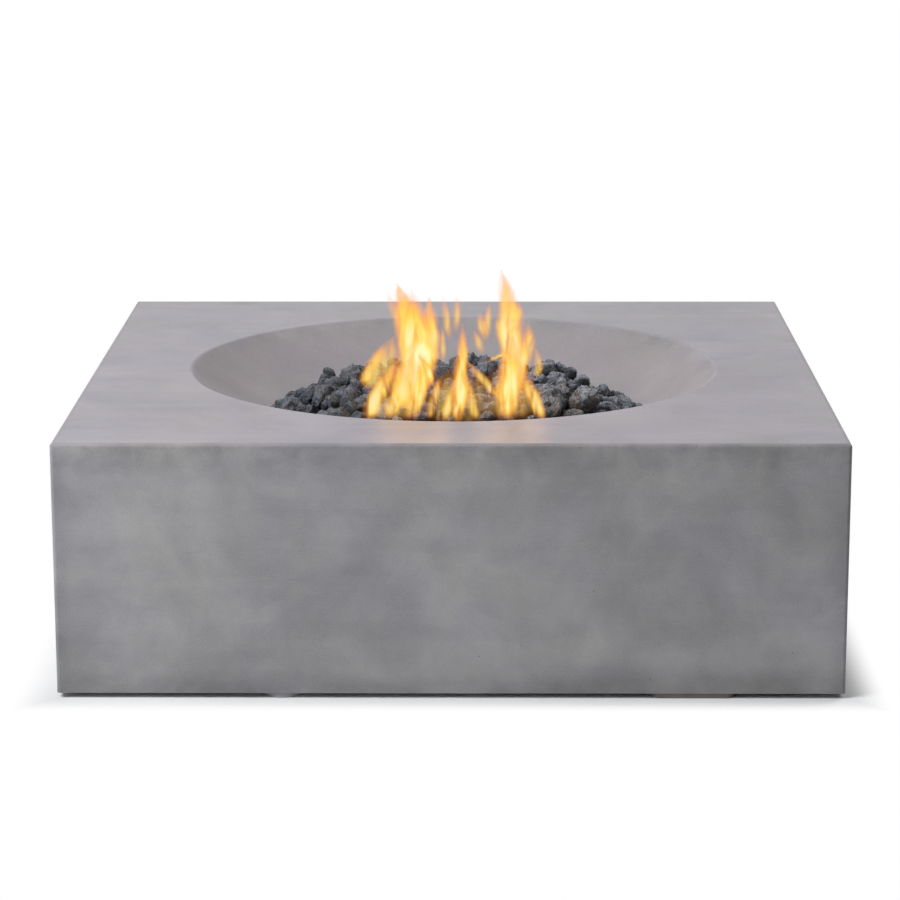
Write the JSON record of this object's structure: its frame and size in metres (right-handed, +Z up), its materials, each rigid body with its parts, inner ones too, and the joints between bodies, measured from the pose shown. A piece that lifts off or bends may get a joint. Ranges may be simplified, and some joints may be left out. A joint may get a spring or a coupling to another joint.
{
  "type": "fire pit table",
  "caption": "Low square cast-concrete fire pit table: round dished bowl of lava rock over a gas ring burner, with rear controls, gas inlet and service door.",
  "frame": {"origin": "on the floor under the centre of the block", "axes": "+Z up; the plain front face looks towards -Y; the rear face with the controls towards +Y"},
  "size_m": [1.067, 1.067, 0.353],
  "materials": {
    "concrete": "smooth cast concrete, sealed, cloudy mid grey",
    "rail_paint": "matt charcoal powder coat",
    "stainless": "brushed stainless sheet",
    "zinc": "zinc plated steel",
    "brass": "machined brass, slightly dulled",
    "hose_steel": "corrugated stainless hose",
    "glide_rubber": "grey hard rubber",
    "pad_rubber": "brown grey hard rubber",
    "knob_plastic": "black moulded phenolic",
    "pointer_plastic": "off-white inlay",
    "button_plastic": "red moulded button",
    "module_plastic": "black moulded case",
    "magnet_case": "black moulded case",
    "electrode_wire": "heat-tinted steel",
    "insulator_ceramic": "glazed white ceramic",
    "lead_silicone": "red silicone lead",
    "lead_copper": "drawn copper lead",
    "lava": "porous charcoal lava rock"
  },
  "bodies": {
    "root": {"concrete_body": "concrete", "front_rail": "rail_paint", "rear_rail": "rail_paint", "left_rail": "rail_paint", "right_rail": "rail_paint", "burner_pan": "stainless", "rock_grate": "stainless", "burner_ring": "stainless", "control_box": "stainless", "control_box_screws": "stainless", "door_frame": "stainless", "door_frame_screws": "stainless", "hinge_pin": "stainless", "electrode_bracket": "stainless", "rail_bolts": "zinc", "foot_screws": "zinc", "valve_nut": "zinc", "igniter_nut": "zinc", "inlet_nut": "zinc", "inlet_pipe": "zinc", "gas_riser": "zinc", "riser_nuts": "brass", "air_mixer": "brass", "gas_orifice": "brass", "supply_elbow": "brass", "hose_nuts": "brass", "gas_valve": "brass", "valve_cap": "brass", "thermocouple_nuts": "brass", "gas_inlet": "brass", "inlet_elbow": "brass", "gas_hose": "hose_steel", "round_feet": "glide_rubber", "pad_feet": "pad_rubber", "igniter_module": "module_plastic", "door_magnet": "magnet_case", "spark_electrode": "electrode_wire", "thermocouple": "electrode_wire", "electrode_insulator": "insulator_ceramic", "igniter_lead": "lead_silicone", "thermocouple_lead": "lead_copper", "lava_rocks_lower": "lava", "lava_rocks_upper": "lava"},
    "valve_rotor": {"valve_rotor": "brass"},
    "control_knob": {"valve_stem": "zinc", "control_knob": "knob_plastic", "knob_pointer": "pointer_plastic"},
    "igniter_button": {"igniter_button": "button_plastic"},
    "service_door": {"service_door": "stainless", "strike_plate": "zinc"},
    "air_shutter": {"air_shutter": "stainless"}
  },
  "joints": [
    {"name": "knob_turn", "type": "hinge", "parent": "root", "child": "valve_rotor", "pos_m": [0.242, 0.4645, 0.16936], "axis": [0, 1, 0], "range_deg": [0, 210]},
    {"name": "knob_push", "type": "slide", "parent": "valve_rotor", "child": "control_knob", "axis": [0, -1, 0], "range_m": [0, 0.004], "stiffness_N_per_m": 1200, "springref_m": -0.004},
    {"name": "igniter_press", "type": "slide", "parent": "root", "child": "igniter_button", "axis": [0, -1, 0], "range_m": [0, 0.004], "stiffness_N_per_m": 1500, "springref_m": -0.002},
    {"name": "door_swing", "type": "hinge", "parent": "root", "child": "service_door", "pos_m": [-0.325, 0.5285, 0.158], "axis": [0, 0, 1], "range_deg": [0, 90]},
    {"name": "shutter_turn", "type": "hinge", "parent": "root", "child": "air_shutter", "pos_m": [0, 0, 0.17736], "axis": [0, 0, 1], "range_deg": [0, 45]}
  ]
}
